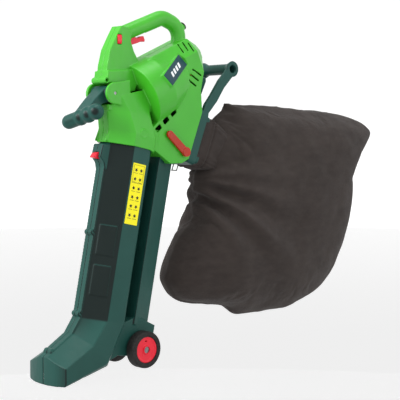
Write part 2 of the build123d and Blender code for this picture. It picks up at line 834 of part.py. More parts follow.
with BuildPart() as cord_inlet:
    with BuildSketch(gland_plane(-14)):
        Circle(gland_r)
    extrude(amount=14)
    with BuildSketch(gland_plane(0)):
        Circle(gland_r + wall)
    extrude(amount=3.0)
    with BuildSketch(gland_plane(-20)):
        Circle(4.0)
    extrude(amount=40, mode=Mode.SUBTRACT)
save(cord_inlet.part, "cord_inlet")

# ---------------------------------------------------------------- mode lever and flap
lever_in = block_half + 1.5
with BuildPart() as selector_lever:
    turn = radians(selector_angle)
    tip_y = selector_y + (selector_length - 10) * cos(turn)
    tip_z = selector_z + (selector_length - 10) * sin(turn)
    add(cross_pin(selector_y, selector_z, 12.0, lever_in, lever_in + 9.5))
    add(cross_pin(tip_y, tip_z, 9.0, lever_in, lever_in + 7.0))
    side_y, side_z = sin(turn), -cos(turn)
    arm = [
        (selector_y + 9 * side_y, selector_z + 9 * side_z),
        (tip_y + 9 * side_y, tip_z + 9 * side_z),
        (tip_y - 9 * side_y, tip_z - 9 * side_z),
        (selector_y - 11 * side_y, selector_z - 11 * side_z),
    ]
    add(side_prism(outline(*arm), lever_in + 7.0, start=lever_in))
    add(cross_pin(selector_y, selector_z, selector_r, lever_in - 1, lever_in + 6), mode=Mode.SUBTRACT)
save(selector_lever.part, "selector_lever")

with BuildPart() as selector_shaft:
    add(cross_pin(selector_y, selector_z, selector_r, -block_half - 2, lever_in + 6))
save(selector_shaft.part, "selector_shaft")

with BuildPart() as diverter_flap:
    flap_turn = radians(flap_angle)
    along_y, along_z = cos(flap_turn), sin(flap_turn)
    flap = [
        (selector_y + 2 * along_z, selector_z - 2 * along_y),
        (selector_y + flap_length * along_y + 2 * along_z, selector_z + flap_length * along_z - 2 * along_y),
        (selector_y + flap_length * along_y - 2 * along_z, selector_z + flap_length * along_z + 2 * along_y),
        (selector_y - 2 * along_z, selector_z + 2 * along_y),
    ]
    add(side_prism(outline(*flap), block_half - wall - 4))
    add(cross_pin(selector_y, selector_z, selector_r + 2.5, -block_half + wall + 4, block_half - wall - 4))
    add(cross_pin(selector_y, selector_z, selector_r, -80, 80), mode=Mode.SUBTRACT)
save(diverter_flap.part, "diverter_flap")

# ---------------------------------------------------------------- auxiliary handle
with BuildPart() as aux_handle:
    add(cross_pin(pivot_y, pivot_z, hub_grip_r, -ear_in + seat, ear_in - seat))
    stem = outline(
        (-71, 700), (-84, 697), (-116, 668), (-142, 640), (-142, 612), (-116, 622), (-96, 655), (-71, 662)
    )
    add(side_prism(stem, 22.0))
    bar_start = Vector(-bar_half, *back(bar_y - bar_skew, bar_z - bar_tilt))
    bar_end = Vector(bar_half, *back(bar_y + bar_skew, bar_z + bar_tilt))
    bar_way = (bar_end - bar_start).normalized()
    with BuildSketch(Plane(origin=bar_start, z_dir=bar_way)):
        Circle(bar_r)
    extrude(amount=(bar_end - bar_start).length)
    # its rounded right end, two finger lobes and its rounded left end
    for share, radius in ((0.0, bar_r), (0.42, bar_r + 2), (0.7, bar_r + 2.5), (0.97, bar_r + 2)):
        with Locations(bar_start + (bar_end - bar_start) * share):
            Sphere(radius)
    add(cross_pin(pivot_y, pivot_z, bolt_r + running, -60, 60), mode=Mode.SUBTRACT)
save(aux_handle.part, "aux_handle")

with BuildPart() as pivot_bolt:
    add(cross_pin(pivot_y, pivot_z, bolt_r, -ear_out + 1.5, ear_out - 1.5))
save(pivot_bolt.part, "pivot_bolt")

# ---------------------------------------------------------------- release button and labels
with BuildPart() as release_button:
    face = [(-16, -7.9), (-10, 4), (-2, 7.9), (button_length - 16, 7.9), (button_length - 16, -7.9)]
    add(side_prism(outline(*[button_point(along, across) for along, across in face]), button_half))
save(release_button.part, "release_button")

with BuildPart() as name_plate:
    with BuildSketch(plate_plane(0)):
        Rectangle(plate_long, plate_wide, rotation=plate_turn)
    extrude(amount=1.2)
save(name_plate.part, "name_plate")

with BuildPart() as label_plate:
    label = [(tube_front(z) + 48 + across, z - 10 - across * tan(tilt)) for z, across in (
        (526, 0), (526, 38), (381, 38), (381, 0))]
    add(side_prism(outline(*label), suction_half + 0.5, start=suction_half))
save(label_plate.part, "label_plate")

# ---------------------------------------------------------------- bag frame with its cross tube
spigot_w, spigot_h, spigot_d = frame_w - 12, frame_h - 16, 14.0
arm_outline = outline(
    port_point(4, 50), port_point(frame_d - 1, 50), port_point(frame_d - 1, 69), (250, 668), (274, 702), (300, 728), (318, 745),
    (312, 764), (292, 758), (256, 722), (228, 684), (208, 660),
)
with BuildPart() as bag_frame:
    with BuildSketch(port_plane(0)):
        RectangleRounded(frame_w, frame_h, 10)
    extrude(amount=frame_d)
    with BuildSketch(port_plane(frame_d - 1)):
        RectangleRounded(spigot_w, spigot_h, 8)
    extrude(amount=spigot_d + 1)
    for hand in (-1, 1):
        near, far = beside(hand, 46.0, 55.0)
        add(side_prism(arm_outline, far, start=near))
    # the cross tube, flared at both ends
    with BuildSketch(Plane.YZ.offset(-yoke_half)):
        with Locations(back(yoke_y, yoke_z)):
            Circle(yoke_r)
    extrude(amount=2 * yoke_half)
    for hand in (-1, 1):
        with BuildSketch(Plane.YZ.offset(hand * (yoke_half - 14))):
            with Locations(back(yoke_y, yoke_z)):
                Circle(yoke_r)
        with BuildSketch(Plane.YZ.offset(hand * (yoke_half + 3))):
            with Locations(back(yoke_y, yoke_z)):
                Circle(yoke_flare_r)
        loft()
    add(cross_pin(yoke_y, yoke_z, yoke_bore_r, -80, 80), mode=Mode.SUBTRACT)
    with BuildSketch(port_plane(-1)):
        RectangleRounded(port_w, port_h, 8)
    extrude(amount=frame_d + spigot_d + 2, mode=Mode.SUBTRACT)
    # ears of the latch
    for hand in (-1, 1):
        near, far = beside(hand, latch_half + seat, latch_half + 5)
        add(side_prism(outline(port_point(4, 69), port_point(24, 69), (222, 662), (214, 672), (204, 668)), far, start=near))
    add(cross_pin(latch_y, latch_z, pin_r + 0.5, -60, 60), mode=Mode.SUBTRACT)
    # holes of the wire clip
    for hand in (-1, 1):
        with BuildSketch(clip_plane(-14)):
            with Locations((hand * clip_half, 0)):
                Circle(wire_r + 0.05)
        extrude(amount=20, mode=Mode.SUBTRACT)
save(bag_frame.part, "bag_frame")

with BuildPart() as bag_latch:
    tongue = outline((203, 664), (205, 657.5), (213, 658), (243, 720), (242, 731), (233, 729))
    add(side_prism(tongue, latch_half))
    add(cross_pin(latch_y, latch_z, 5.0, -latch_half, latch_half))
    add(cross_pin(latch_y, latch_z, pin_r + 0.5 + running, -60, 60), mode=Mode.SUBTRACT)
save(bag_latch.part, "bag_latch")

with BuildPart() as latch_pin:
    add(cross_pin(latch_y, latch_z, pin_r + 0.5, -latch_half - 5, latch_half + 5))
save(latch_pin.part, "latch_pin")

with BuildPart() as bag_clip:
    for hand in (-1, 1):
        with BuildSketch(clip_plane(-9)):
            with Locations((hand * clip_half, 0)):
                Circle(wire_r)
        extrude(amount=9 + clip_drop)
    low = clip_plane(clip_drop).origin
    add(cross_pin(low.Y - axle_y, low.Z, wire_r, -clip_half - wire_r, clip_half + wire_r))
save(bag_clip.part, "bag_clip")

# ---------------------------------------------------------------- bag
sleeve_w, sleeve_h = spigot_w + 2 * seat, spigot_h + 2 * seat
with BuildPart() as bag_collar:
    with BuildSketch(port_plane(frame_d + seat)):
        RectangleRounded(sleeve_w + 2 * bag_t, sleeve_h + 2 * bag_t, 8 + bag_t)
    extrude(amount=collar_d)
    with BuildSketch(port_plane(frame_d)):
        RectangleRounded(sleeve_w, sleeve_h, 8)
    extrude(amount=collar_d + 1, mode=Mode.SUBTRACT)
save(bag_collar.part, "bag_collar")

# (height, centre back from the axle, half length, half width) of the hanging bag
bag_levels = [
    (88, 486, 92, 50), (141, 437, 257, 88), (206, 438, 318, 104), (334, 496, 314, 110),
    (458, 536, 290, 110), (550, 572, 296, 100), (605, 602, 322, 80), (645, 560, 272, 48), (672, 500, 190, 20),
]


def bag_mass(inset):
    """The bag's outer shape drawn in by inset: its body and the duct that meets the collar."""
    with BuildPart() as solid:
        for step, (z, centre, long, wide) in enumerate(bag_levels):
            if step == 0:
                z += inset
            if step == len(bag_levels) - 1:
                z -= inset
            with BuildSketch(Plane.XY.offset(z)):
                with Locations((0, axle_y + centre)):
                    Ellipse(wide - inset, long - inset)
        loft(ruled=True)
        reach = frame_d + seat + collar_d + seat
        with BuildSketch(port_plane(reach - (1 if inset else 0))):
            RectangleRounded(sleeve_w + 2 * (bag_t - inset), sleeve_h + 2 * (bag_t - inset), 8 + bag_t - inset)
        extrude(amount=70)
    return solid.part


with BuildPart() as bag:
    add(bag_mass(0.0))
    add(bag_mass(bag_t), mode=Mode.SUBTRACT)
save(bag.part, "bag")
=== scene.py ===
"""Looks of the garden blower vacuum: moulded shells, prints, wheels and the cloth bag."""

import json
import logging
from dataclasses import dataclass
from enum import Enum
from math import atan2, cos, degrees, exp, pi, radians, sin

import bmesh
import bpy
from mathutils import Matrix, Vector, noise

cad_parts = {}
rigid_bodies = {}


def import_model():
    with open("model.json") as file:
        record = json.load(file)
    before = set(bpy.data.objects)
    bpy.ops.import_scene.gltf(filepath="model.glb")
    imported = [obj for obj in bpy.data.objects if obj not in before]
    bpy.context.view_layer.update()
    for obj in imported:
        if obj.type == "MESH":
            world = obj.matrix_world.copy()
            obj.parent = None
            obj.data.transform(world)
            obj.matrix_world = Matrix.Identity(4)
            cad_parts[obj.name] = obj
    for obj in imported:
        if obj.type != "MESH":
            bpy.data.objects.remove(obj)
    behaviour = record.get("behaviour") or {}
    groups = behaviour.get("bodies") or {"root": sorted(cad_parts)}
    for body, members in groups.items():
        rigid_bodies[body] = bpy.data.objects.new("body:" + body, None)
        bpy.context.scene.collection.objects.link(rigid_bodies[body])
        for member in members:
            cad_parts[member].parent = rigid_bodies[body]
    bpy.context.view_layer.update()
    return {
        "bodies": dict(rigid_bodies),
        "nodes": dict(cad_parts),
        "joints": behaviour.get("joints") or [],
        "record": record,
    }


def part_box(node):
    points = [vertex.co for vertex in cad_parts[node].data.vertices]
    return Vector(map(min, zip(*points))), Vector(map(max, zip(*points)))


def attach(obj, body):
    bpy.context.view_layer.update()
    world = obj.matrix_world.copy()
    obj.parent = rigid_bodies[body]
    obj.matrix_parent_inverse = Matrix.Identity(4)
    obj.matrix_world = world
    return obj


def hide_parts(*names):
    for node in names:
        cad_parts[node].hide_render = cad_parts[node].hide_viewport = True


LOG = logging.getLogger("blower")
MM = 0.001
AXLE_Y = -334.0 * MM  # the wheel axle, from the part's origin
WAVE_SCALE = 0.314  # a wave texture of this scale has one band in each metre

Colour = tuple[float, float, float, float]


def linear(hex_colour: str) -> Colour:
    """Turns an sRGB hex colour into linear light.

    Args:
        hex_colour: Six hex digits after a hash.

    Returns:
        Red, green and blue from 0 to 1 in linear light, and an alpha of 1.
    """
    parts = [int(hex_colour[i : i + 2], 16) / 255 for i in (1, 3, 5)]
    light = [c / 12.92 if c <= 0.04045 else ((c + 0.055) / 1.055) ** 2.4 for c in parts]
    return (light[0], light[1], light[2], 1.0)


def smooth_step(value: float, low: float, high: float) -> float:
    """Eases from 0 at low to 1 at high.

    Args:
        value: Where to read the curve.
        low: Start of the rise.
        high: End of the rise.

    Returns:
        A number from 0 to 1.
    """
    share = min(1.0, max(0.0, (value - low) / (high - low)))
    return share * share * (3 - 2 * share)


def blunt(value: float, power: float = 0.82) -> float:
    """Squares off a sine or cosine, so that a section is fuller than an ellipse.

    Args:
        value: A sine or a cosine.
        power: Below 1, the section is squarer.

    Returns:
        The same sign with the squarer size.
    """
    return abs(value) ** power * (1 if value > 0 else -1)


class Shader:
    """Builds one material's node tree, a node at a time."""

    def __init__(self, name: str) -> None:
        """Starts the tree with a principled surface.

        Args:
            name: The material's name.
        """
        self.material = bpy.data.materials.new(name)
        self.material.use_nodes = True
        self.tree = self.material.node_tree
        self.tree.nodes.clear()
        self.surface = self.add("ShaderNodeBsdfPrincipled")
        output = self.add("ShaderNodeOutputMaterial", Surface=self.surface.outputs["BSDF"])
        output.is_active_output = True
        self.place = self.add("ShaderNodeTexCoord").outputs["Object"]

    def add(self, kind: str, settings: dict | None = None, **inputs: object) -> bpy.types.Node:
        """Adds a node with its settings, and sets or links its inputs.

        Args:
            kind: Blender's node type.
            settings: Properties of the node itself.
            inputs: Input names, with _ for a space, and a value or an output socket for each.

        Returns:
            The new node.
        """
        node = self.tree.nodes.new(kind)
        for key, value in (settings or {}).items():
            setattr(node, key, value)
        for key, value in inputs.items():
            self.join(node, key.replace("_", " "), value)
        return node

    def join(self, node: bpy.types.Node, name: str, value: object) -> None:
        """Sets an input to a constant, or links a socket to it.

        Args:
            node: The node that has the input.
            name: The input's name.
            value: A constant or an output socket.
        """
        socket = node.inputs[name]
        if isinstance(value, bpy.types.NodeSocket):
            self.tree.links.new(value, socket)
        else:
            socket.default_value = value

    def noise(self, size: float, detail: float = 4.0, stretch: Vector | None = None) -> bpy.types.NodeSocket:
        """Adds a noise pattern of a real size.

        Args:
            size: Width of a feature in metres.
            detail: Octaves of finer pattern.
            stretch: Scale of each axis, for a pattern that runs one way.

        Returns:
            The pattern's value.
        """
        place = self.place
        if stretch is not None:
            place = self.add("ShaderNodeMapping", Vector=place, Scale=stretch).outputs["Vector"]
        node = self.add("ShaderNodeTexNoise", Vector=place, Scale=1.0 / size, Detail=detail)
        return node.outputs["Fac"]

    def spread(self, value: bpy.types.NodeSocket, low: float, high: float) -> bpy.types.NodeSocket:
        """Maps a pattern's middle range to another range.

        Args:
            value: The pattern.
            low: The value at its dark end.
            high: The value at its light end.

        Returns:
            The mapped value.
        """
        middle = {"From_Min": 0.3, "From_Max": 0.7}  # a noise pattern seldom leaves this range
        node = self.add("ShaderNodeMapRange", Value=value, To_Min=low, To_Max=high, **middle)
        return node.outputs["Result"]

    def mixed(self, share: object, first: Colour, second: object) -> bpy.types.NodeSocket:
        """Mixes two colours.

        Args:
            share: How much of the second colour.
            first: A colour or a colour socket.
            second: A colour or a colour socket.

        Returns:
            The mixed colour.
        """
        node = self.add("ShaderNodeMix", {"data_type": "RGBA"})
        self.join(node, "Factor", share)
        for index, value in ((6, first), (7, second)):
            if isinstance(value, bpy.types.NodeSocket):
                self.tree.links.new(value, node.inputs[index])
            else:
                node.inputs[index].default_value = value
        return node.outputs[2]

    def relief(self, height: bpy.types.NodeSocket, depth: float, strength: float = 1.0) -> None:
        """Gives the surface a bump.

        Args:
            height: The pattern that rises and falls.
            depth: Its height in metres.
            strength: How strongly it turns the light.
        """
        bump = self.add("ShaderNodeBump", Height=height, Distance=depth, Strength=strength)
        self.join(self.surface, "Normal", bump.outputs["Normal"])

    def finish(self, **inputs: object) -> bpy.types.Material:
        """Sets the surface's own inputs.

        Args:
            inputs: Input names, with _ for a space, and a value or socket for each.

        Returns:
            The finished material.
        """
        for key, value in inputs.items():
            self.join(self.surface, key.replace("_", " "), value)
        return self.material


@dataclass(frozen=True)
class MouldedPlastic:
    """An injection-moulded plastic with a fine spark-eroded grain and handling marks."""

    name: str
    colour: str
    shade: str  # the same plastic where it is dusty or in the grain
    roughness: float = 0.38
    grain: float = 0.9 * MM  # coarser than the real 0.3 mm, so that it can be seen
    depth: float = 0.03 * MM
    gloss: float = 0.4  # specular level; lower where the grain is coarse
    flank_painted_shade: str | None = None  # painted shade: a near-black colour put on the faces that look forward and to the left, where the light falls least

    def material(self) -> bpy.types.Material:
        """Builds the finish.

        Returns:
            The plastic's material.
        """
        shader = Shader(self.name)
        cloudy = shader.spread(shader.noise(70 * MM, 3.0), 0.0, 0.35)
        colour = shader.mixed(cloudy, linear(self.colour), linear(self.shade))
        # Painted shade: faces that look forward and to the left are mixed towards a near-black colour by
        # their normal. This stands in for the shade they fall in, not for the plastic's own colour.
        if self.flank_painted_shade:
            facing = shader.add("ShaderNodeVectorMath", {"operation": "DOT_PRODUCT"})
            normal = shader.add("ShaderNodeTexCoord").outputs["Normal"]
            shader.tree.links.new(normal, facing.inputs[0])
            facing.inputs[1].default_value = (0.70, -0.70, 0.0)  # forward and to the left
            share = shader.add(
                "ShaderNodeMapRange",
                {"interpolation_type": "SMOOTHSTEP"},
                Value=facing.outputs["Value"],
                From_Min=0.80,
                From_Max=0.97,
                To_Min=0.0,
                To_Max=0.9,
            ).outputs["Result"]
            colour = shader.mixed(share, colour, linear(self.flank_painted_shade))
        marks = shader.noise(14 * MM, 6.0, Vector((1.0, 1.0, 0.35)))
        shader.relief(shader.noise(self.grain, 2.0), self.depth, 0.6)
        return shader.finish(
            Base_Color=colour,
            Roughness=shader.spread(marks, self.roughness - 0.05, self.roughness + 0.09),
            IOR=1.53,
            Specular_IOR_Level=self.gloss,
        )


@dataclass(frozen=True)
class MouldedRubber:
    """Black rubber with a dull bloom and dust in its pores."""

    name: str
    colour: str

    def material(self) -> bpy.types.Material:
        """Builds the finish.

        Returns:
            The rubber's material.
        """
        shader = Shader(self.name)
        dust = shader.spread(shader.noise(6 * MM, 6.0), 0.0, 0.3)
        colour = shader.mixed(dust, linear(self.colour), linear("#4a4845"))
        shader.relief(shader.noise(0.7 * MM, 3.0), 0.08 * MM, 0.7)
        return shader.finish(Base_Color=colour, Roughness=0.72, IOR=1.52, Specular_IOR_Level=0.25)


@dataclass(frozen=True)
class TurnedMetal:
    """A turned or rolled metal with fine tool lines."""

    name: str
    colour: str
    roughness: float = 0.32

    def material(self) -> bpy.types.Material:
        """Builds the finish.

        Returns:
            The metal's material.
        """
        shader = Shader(self.name)
        lines = shader.noise(1.2 * MM, 3.0, Vector((6.0, 1.0, 1.0)))
        stain = shader.spread(shader.noise(9 * MM, 5.0), 0.0, 0.5)
        colour = shader.mixed(stain, linear(self.colour), linear("#5a554e"))
        shader.relief(lines, 0.02 * MM, 0.5)
        rough = shader.spread(lines, self.roughness, self.roughness + 0.16)
        return shader.finish(Base_Color=colour, Metallic=1.0, Roughness=rough)


@dataclass(frozen=True)
class PrintedFilm:
    """A printed polyester film or plate with a clear top coat."""

    name: str
    colour: str

    def material(self) -> bpy.types.Material:
        """Builds the finish.

        Returns:
            The film's material.
        """
        shader = Shader(self.name)
        fade = shader.spread(shader.noise(30 * MM, 3.0), 0.0, 0.08)
        colour = shader.mixed(fade, linear(self.colour), linear("#808080"))
        shader.relief(shader.noise(3 * MM, 2.0), 0.02 * MM, 0.4)
        return shader.finish(Base_Color=colour, Roughness=0.4, Specular_IOR_Level=0.25)


@dataclass(frozen=True)
class CoatedCloth:
    """Plain-woven polyester with a dull coating, creased and dusty on its ridges."""

    name: str
    colour: str
    crease: str
    thread: float = 1.1 * MM  # coarser than the real 0.4 mm, so that it can be seen

    def material(self) -> bpy.types.Material:
        """Builds the finish.

        Returns:
            The cloth's material.
        """
        shader = Shader(self.name)
        soft = shader.spread(shader.noise(150 * MM, 4.0), 0.0, 0.6)
        colour = shader.mixed(soft, linear(self.colour), linear(self.crease))
        rub = shader.spread(shader.noise(22 * MM, 7.0, Vector((1.0, 0.6, 1.4))), 0.0, 0.14)
        colour = shader.mixed(rub, colour, linear("#5b524d"))
        weft = shader.add(
            "ShaderNodeTexWave",
            {"bands_direction": "Z"},
            Vector=shader.place,
            Scale=WAVE_SCALE / self.thread,
            Distortion=1.2,
            Detail=2.0,
        ).outputs["Fac"]
        warp = shader.add(
            "ShaderNodeTexWave",
            {"bands_direction": "Y"},
            Vector=shader.place,
            Scale=WAVE_SCALE / self.thread,
            Distortion=1.2,
            Detail=2.0,
        ).outputs["Fac"]
        weave = shader.add("ShaderNodeMath", {"operation": "MAXIMUM"})
        shader.tree.links.new(weft, weave.inputs[0])
        shader.tree.links.new(warp, weave.inputs[1])
        wrinkle = shader.noise(26 * MM, 8.0, Vector((1.0, 1.0, 1.6)))
        both = shader.add("ShaderNodeMath", {"operation": "MULTIPLY_ADD"})
        shader.tree.links.new(wrinkle, both.inputs[0])
        both.inputs[1].default_value = 7.0  # the wrinkles stand this much higher than the weave
        shader.tree.links.new(weave.outputs[0], both.inputs[2])
        shader.relief(both.outputs[0], 0.35 * MM, 0.75)
        return shader.finish(
            Base_Color=colour,
            Roughness=0.82,
            IOR=1.5,
            Specular_IOR_Level=0.15,
            Sheen_Weight=0.06,
            Sheen_Roughness=0.5,
        )


class Finish(Enum):
    """Every finish of the machine, by the record's material slot."""

    # Fine grain breaks the light up into a broad, soft shine.
    GREEN = ("green_abs", MouldedPlastic("green_abs_moulded", "#3faa24", "#2f911a", 0.34))
    # Duller than the housing, as from a coarser mould: hardly any shine. The panels that look forward and to
    # the left get painted shade, nearly black, from the direction they face.
    TEAL = (
        "teal_abs",
        MouldedPlastic("teal_abs_moulded", "#1d4a43", "#163c36", 0.4, gloss=0.2, flank_painted_shade="#070b0b"),
    )
    # Filled nylon: grey and dull, with no mirror-like spots.
    BLACK = ("black_plastic", MouldedPlastic("black_nylon_moulded", "#111313", "#1b1d1e", 0.5, gloss=0.25))
    # Unfilled and polished a little: a clear colour with a small highlight.
    RED = ("red_abs", MouldedPlastic("red_abs_moulded", "#e3122f", "#c00d26", 0.3))
    # Smooth from a polished tool: the sharpest highlight of all the plastics.
    LEVER = ("lever_abs", MouldedPlastic("red_brown_abs_moulded", "#a9260c", "#86200c", 0.2, gloss=0.35))
    # Rubber swallows the light: no highlight, and a grey bloom in the pores.
    TYRE = ("tyre_rubber", MouldedRubber("tyre_rubber_moulded", "#161616"))
    # The same as the tyre, a shade paler, so that the gland stands off the black plastic.
    RUBBER = ("rubber", MouldedRubber("gland_rubber_moulded", "#1c1c1c"))
    # Tool lines draw the highlight out round the part.
    STEEL = ("steel", TurnedMetal("steel_turned_and_plated", "#9a9b9c"))
    # Varnished sheet: darker and rougher than the plated steel, with a brown stain.
    IRON = ("laminations", TurnedMetal("steel_laminations_varnished", "#4c4a48", 0.45))
    # Turned brass: a warm highlight with brown spots, where the brushes run.
    BRASS = ("brass", TurnedMetal("brass_turned", "#b88a42"))
    # A clear top coat over flat ink: an even, low shine.
    PLATE = ("plate_print", PrintedFilm("plate_printed_teal", "#073a44"))
    # The same film in yellow, the brightest thing on the dark tube.
    LABEL = ("label_print", PrintedFilm("label_printed_yellow", "#f6ec0c"))
    # Coated weave: dull all over, a little paler at its edges and where folds have rubbed.
    CLOTH = ("bag_cloth", CoatedCloth("bag_polyester_coated", "#2e2826", "#3a3330"))
    # Ink on the film: as dull as the film, so that only its colour shows.
    WHITE_INK = ("plate_mark", PrintedFilm("ink_printed_white", "#e9eeee"))
    BLACK_INK = ("label_mark", PrintedFilm("ink_printed_black", "#15150f"))

    @property
    def slot(self) -> str:
        """The record's slot name."""
        return self.value[0]

    def material(self) -> bpy.types.Material:
        """Builds the finish once and gives it again after that.

        Returns:
            The material.
        """
        return bpy.data.materials.get(self.value[1].name) or self.value[1].material()


FINISH_OF_SLOT = {finish.slot: finish for finish in Finish}


def mesh_object(name: str, mesh: bpy.types.Mesh, finish: Finish, body: str) -> bpy.types.Object:
    """Puts a mesh in the scene as a piece that rides on a body.

    Args:
        name: The piece's name.
        mesh: Its mesh, in the part's frame.
        finish: Its finish.
        body: The CAD body that it moves with.

    Returns:
        The new object.
    """
    piece = bpy.data.objects.new(name, mesh)
    bpy.context.scene.collection.objects.link(piece)
    mesh.materials.clear()
    mesh.materials.append(finish.material())
    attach(piece, body)
    return piece


def baked(piece: bpy.types.Object) -> None:
    """Applies every modifier of a piece to its mesh.

    Args:
        piece: The object to settle.
    """
    graph = bpy.context.evaluated_depsgraph_get()
    graph.update()
    result = bpy.data.meshes.new_from_object(piece.evaluated_get(graph))
    piece.modifiers.clear()
    old = piece.data
    piece.data = result
    bpy.data.meshes.remove(old)
    for face in piece.data.polygons:
        face.use_smooth = True


@dataclass
class Mouldings:
    """CAD shells shown with the rounded edges that their moulds give them."""

    frame: dict
    bodies: dict[str, str]
    slots: dict[str, Finish]

    def rounded(self, node: str, voxel: float, passes: int, keep: float) -> None:
        """Shows a node with its edges rounded.

        Args:
            node: The CAD node.
            voxel: Size of the grid that the copy is cut to, in metres.
            passes: How often the copy is smoothed.
            keep: Share of the faces that is kept where the surface is plain.
        """
        mesh = self.frame["nodes"][node].data.copy()
        shell = bmesh.new()
        shell.from_mesh(mesh)
        bmesh.ops.remove_doubles(shell, verts=shell.verts, dist=0.002 * MM)
        shell.to_mesh(mesh)
        shell.free()
        piece = mesh_object(f"{node}_moulded", mesh, self.slots[node], self.bodies[node])
        grid = piece.modifiers.new("grid", "REMESH")
        grid.mode = "VOXEL"
        grid.voxel_size = voxel * 1.0
        soft = piece.modifiers.new("soft", "SMOOTH")
        soft.factor = 0.5
        soft.iterations = passes
        fewer = piece.modifiers.new("fewer", "DECIMATE")
        fewer.ratio = keep
        baked(piece)
        piece.data.materials.clear()
        piece.data.materials.append(self.slots[node].material())
        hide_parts(node)

    def build(self) -> None:
        """Rounds the shells, the controls and the wheels."""
        for node in ("housing_left", "housing_right"):
            self.rounded(node, 1.3 * MM, 5, 0.4)
        for node in ("tube_left", "tube_right"):
            self.rounded(node, 1.6 * MM, 5, 0.35)
        for node in ("aux_handle", "bag_frame"):
            self.rounded(node, 1.3 * MM, 8, 0.5)
        for node in ("selector_lever", "trigger", "release_button", "bag_latch", "rocker_switch"):
            self.rounded(node, 0.7 * MM, 5, 0.5)
        for side in ("left", "right"):
            self.rounded(f"wheel_hub_{side}", 0.9 * MM, 4, 0.5)
            self.rounded(f"tyre_{side}", 1.0 * MM, 4, 0.5)

    def dress(self) -> None:
        """Gives every other CAD node its own finish."""
        for node, shown in self.frame["nodes"].items():
            material = self.slots[node].material()
            if shown.material_slots:
                for place in shown.material_slots:
                    place.material = material
            else:
                shown.data.materials.append(material)


@dataclass
class Prints:
    """The marks on the name plate and on the yellow label, as thin inked shapes."""

    label_low: Vector
    label_high: Vector
    lean: float = radians(11.6)  # how far the label leans back with the tube
    ink: float = 0.12 * MM  # thicker than real ink, so that it stays in front of its label
    half_wide: float = 16.0 * MM
    half_long: float = 70.0 * MM
    line: float = 0.7 * MM
    head: float = 44.0 * MM  # height of the framed part at the top of the label

    def inked(self, shell: bmesh.types.BMesh, name: str, finish: Finish) -> None:
        """Turns the inked shapes into a piece of the machine.

        Args:
            shell: The mesh that has them; it is freed.
            name: The piece's name.
            finish: The ink.
        """
        mesh = bpy.data.meshes.new(name)
        bmesh.ops.recalc_face_normals(shell, faces=shell.faces)
        shell.to_mesh(mesh)
        shell.free()
        mesh_object(name, mesh, finish, "machine")

    def patch(self, shell: bmesh.types.BMesh, outline: list[Vector], lift: Vector) -> None:
        """Adds one thin inked shape.

        Args:
            shell: The mesh that takes it.
            outline: Its corners.
            lift: From its underside to its top.
        """
        low = [shell.verts.new(corner) for corner in outline]
        high = [shell.verts.new(corner + lift) for corner in outline]
        shell.faces.new(high)
        shell.faces.new(low[::-1])
        for i in range(len(low)):
            j = (i + 1) % len(low)
            shell.faces.new((low[i], low[j], high[j], high[i]))

    def label(self) -> None:
        """Draws the label's border and its two columns of plain marks."""
        long = Vector((0, sin(self.lean), cos(self.lean)))
        wide = Vector((0, cos(self.lean), -sin(self.lean)))
        middle = (self.label_low + self.label_high) / 2
        centre = Vector((self.label_high.x, middle.y, middle.z))
        lift = Vector((self.ink, 0, 0))
        edge, top, line = self.half_wide, self.half_long, self.line
        shell = bmesh.new()

        def at(x: float, y: float) -> Vector:
            """Gives the place that is x across the label and y along it."""
            return centre + wide * x + long * y

        def bar(x0: float, x1: float, y0: float, y1: float) -> None:
            """Adds one bar between two places across and two along."""
            self.patch(shell, [at(x0, y0), at(x1, y0), at(x1, y1), at(x0, y1)], lift)

        bar(-edge, edge, top - line, top)
        bar(-edge, edge, top - self.head, top - self.head + line)
        for x in (-edge, edge - line):
            bar(x, x + line, top - self.head, top)
        first, step, aside = 12, 22, 8.0 * MM  # of the marks: from the top, apart, and from the middle
        size, points = 5.2 * MM, 10
        for row in range(6):
            for column in (-1, 1):
                x = column * aside
                y = top - (first + step * row) * MM
                turn = 0.5 * row + 0.9 * column
                ring = []
                for k in range(points):
                    reach = size * (1.0 if k % 2 else 0.5)
                    around = 2 * pi * k / points + turn
                    ring.append(at(x + reach * cos(around), y + reach * sin(around)))
                self.patch(shell, ring, lift)
                bar(x - 6 * MM, x + 6 * MM, y - 8.2 * MM, y - 7.2 * MM)
        self.inked(shell, "label_marks", Finish.BLACK_INK)

    def plate(self, plate: bpy.types.Object) -> None:
        """Draws four plain slanted bars on the name plate.

        Args:
            plate: The CAD node of the plate.
        """
        face = max(plate.data.polygons, key=lambda f: f.normal.x * 10 + f.area * 1e3)
        corners = sorted({tuple(round(c, 6) for c in v.co) for v in plate.data.vertices})
        points = [Vector(c) for c in corners]
        normal = face.normal.copy()
        top = max(p.dot(normal) for p in points)
        face_points = [p for p in points if p.dot(normal) > top - 0.3 * MM]
        centre = sum(face_points, Vector()) / len(face_points)
        first = face_points[0]
        others = sorted(face_points[1:], key=lambda p: (p - first).length)
        wide = (others[0] - first).normalized()
        long = (others[1] - first).normalized()
        shell = bmesh.new()
        lift = normal * self.ink
        length, half, slant = 9, 6, 5  # of a bar, in millimetres
        for start in (-30, -15, 0, 15):
            end = start + length
            quad = [(start, -half), (end, -half), (end + slant, half), (start + slant, half)]
            self.patch(shell, [centre + long * x * MM + wide * y * MM for x, y in quad], lift)
        self.inked(shell, "plate_marks", Finish.WHITE_INK)


@dataclass(frozen=True)
class BagLevel:
    """One height of the hanging bag, in metres; back is from the wheel axle."""

    height: float
    back: float
    half_length: float
    half_width: float


@dataclass(frozen=True)
class Fold:
    """One crease or ridge that runs out from the collar's lower corner."""

    angle: float  # degrees above the rearward direction
    spread: float  # degrees
    height: float  # metres; below 0 is a valley
    reach: float  # metres


